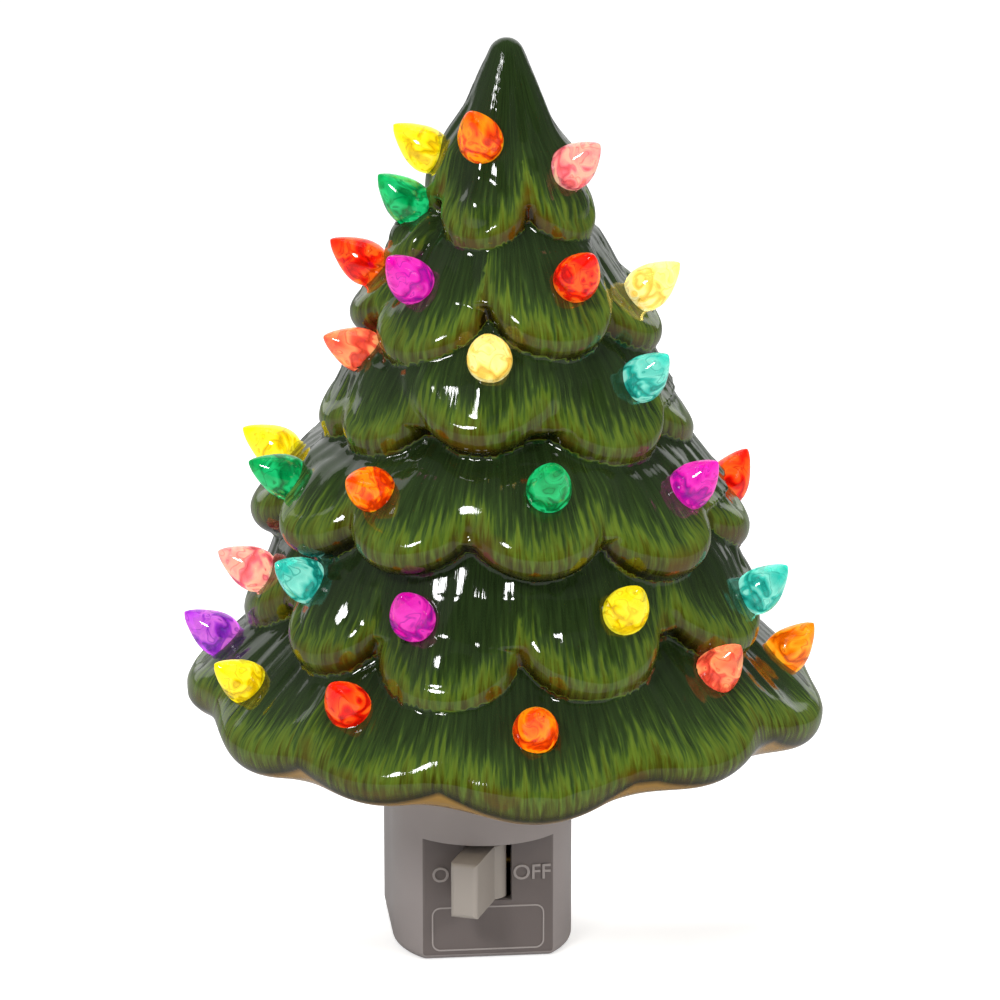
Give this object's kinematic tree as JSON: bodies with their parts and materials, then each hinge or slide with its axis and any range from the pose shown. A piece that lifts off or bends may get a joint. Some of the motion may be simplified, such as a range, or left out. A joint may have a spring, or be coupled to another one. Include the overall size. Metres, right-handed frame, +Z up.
{
  "type": "christmas tree night light",
  "caption": "Plug-in night light: a glazed ceramic Christmas tree shade with coloured peg lights over a lamp, on a plastic holder with a toggle switch and flat plug blades.",
  "frame": {"origin": "on the holder's back face, the face against the wall, midway between the plug blades", "axes": "+Y into the wall along the plug blades, +Z up the tree, -Y out of the front, +X to the right seen from the front"},
  "size_m": [0.1141, 0.0925, 0.1684],
  "materials": {
    "tree_glaze": "gloss",
    "holder_plastic": "satin",
    "socket_insulation": "matte",
    "steel": "satin",
    "brass": "satin",
    "solder": "satin",
    "cap_glass": "gloss",
    "lamp_glass": "clear",
    "lead_wire": "satin",
    "filament": "glowing",
    "light_yellow": "translucent gloss",
    "light_orange": "translucent gloss",
    "light_pink": "translucent gloss",
    "light_green": "translucent gloss",
    "light_red": "translucent gloss",
    "light_magenta": "translucent gloss",
    "light_cream": "translucent gloss",
    "light_salmon": "translucent gloss",
    "light_teal": "translucent gloss",
    "light_purple": "translucent gloss",
    "light_amber": "translucent gloss"
  },
  "bodies": {
    "base": {"blade_line": "brass", "blade_neutral": "brass", "centre_contact": "brass", "cover_screw_bottom": "steel", "cover_screw_left": "steel", "cover_screw_right": "steel", "holder_back": "holder_plastic", "holder_front": "holder_plastic", "lamp_cap": "brass", "lamp_filament": "filament", "lamp_glass": "lamp_glass", "lamp_insulator": "cap_glass", "lamp_lead_left": "lead_wire", "lamp_lead_right": "lead_wire", "lamp_mount": "lamp_glass", "lamp_tip": "solder", "light_t1_green": "light_green", "light_t1_orange": "light_orange", "light_t1_pink": "light_pink", "light_t1_yellow": "light_yellow", "light_t2_cream": "light_cream", "light_t2_magenta": "light_magenta", "light_t2_red": "light_red", "light_t2_red_left": "light_red", "light_t3_cream": "light_cream", "light_t3_salmon": "light_salmon", "light_t3_teal": "light_teal", "light_t4_green": "light_green", "light_t4_green_left": "light_green", "light_t4_magenta": "light_magenta", "light_t4_orange": "light_orange", "light_t4_red": "light_red", "light_t4_yellow": "light_yellow", "light_t5_magenta": "light_magenta", "light_t5_pink": "light_pink", "light_t5_teal": "light_teal", "light_t5_teal_left": "light_teal", "light_t5_yellow": "light_yellow", "light_t6_amber": "light_amber", "light_t6_orange": "light_orange", "light_t6_purple": "light_purple", "light_t6_red": "light_red", "light_t6_salmon": "light_salmon", "light_t6_yellow": "light_yellow", "neutral_strip": "brass", "shade_ring": "holder_plastic", "socket_shell": "brass", "socket_sleeve": "socket_insulation", "switch_terminal": "brass", "tree_shell": "tree_glaze"},
    "lever": {"switch_lever": "holder_plastic"}
  },
  "joints": [
    {"name": "switch_toggle", "type": "hinge", "parent": "base", "child": "lever", "pos_m": [0, -0.0275, 0.00265], "axis": [0, 0, 1], "range_deg": [0, 46]}
  ]
}
